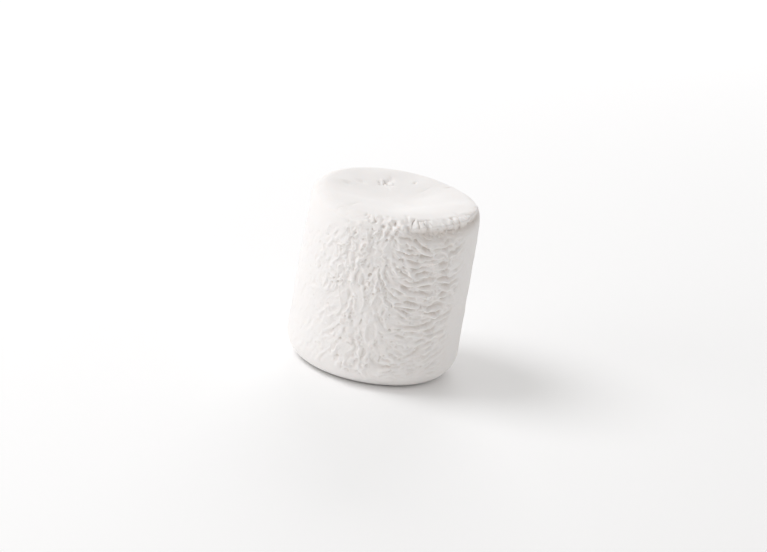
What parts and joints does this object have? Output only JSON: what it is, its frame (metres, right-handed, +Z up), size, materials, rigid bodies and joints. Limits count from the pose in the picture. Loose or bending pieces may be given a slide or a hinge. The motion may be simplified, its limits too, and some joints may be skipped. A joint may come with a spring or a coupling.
{
  "type": "marshmallow",
  "caption": "White cylindrical marshmallow with a dished, puckered top, finely wrinkled powdery wall and flat rounded base.",
  "frame": {"origin": "middle of the base, on the surface that it stands on", "axes": "+Z up along the marshmallow's axis, -Y towards the puckered front, +X to the right of that front"},
  "size_m": [0.029, 0.029, 0.0303],
  "materials": {
    "dusted_sugar": "soft whipped sugar under a thin dusting of starch, matt and slightly warm white"
  },
  "bodies": {
    "root": {"marshmallow": "dusted_sugar"}
  },
  "joints": []
}
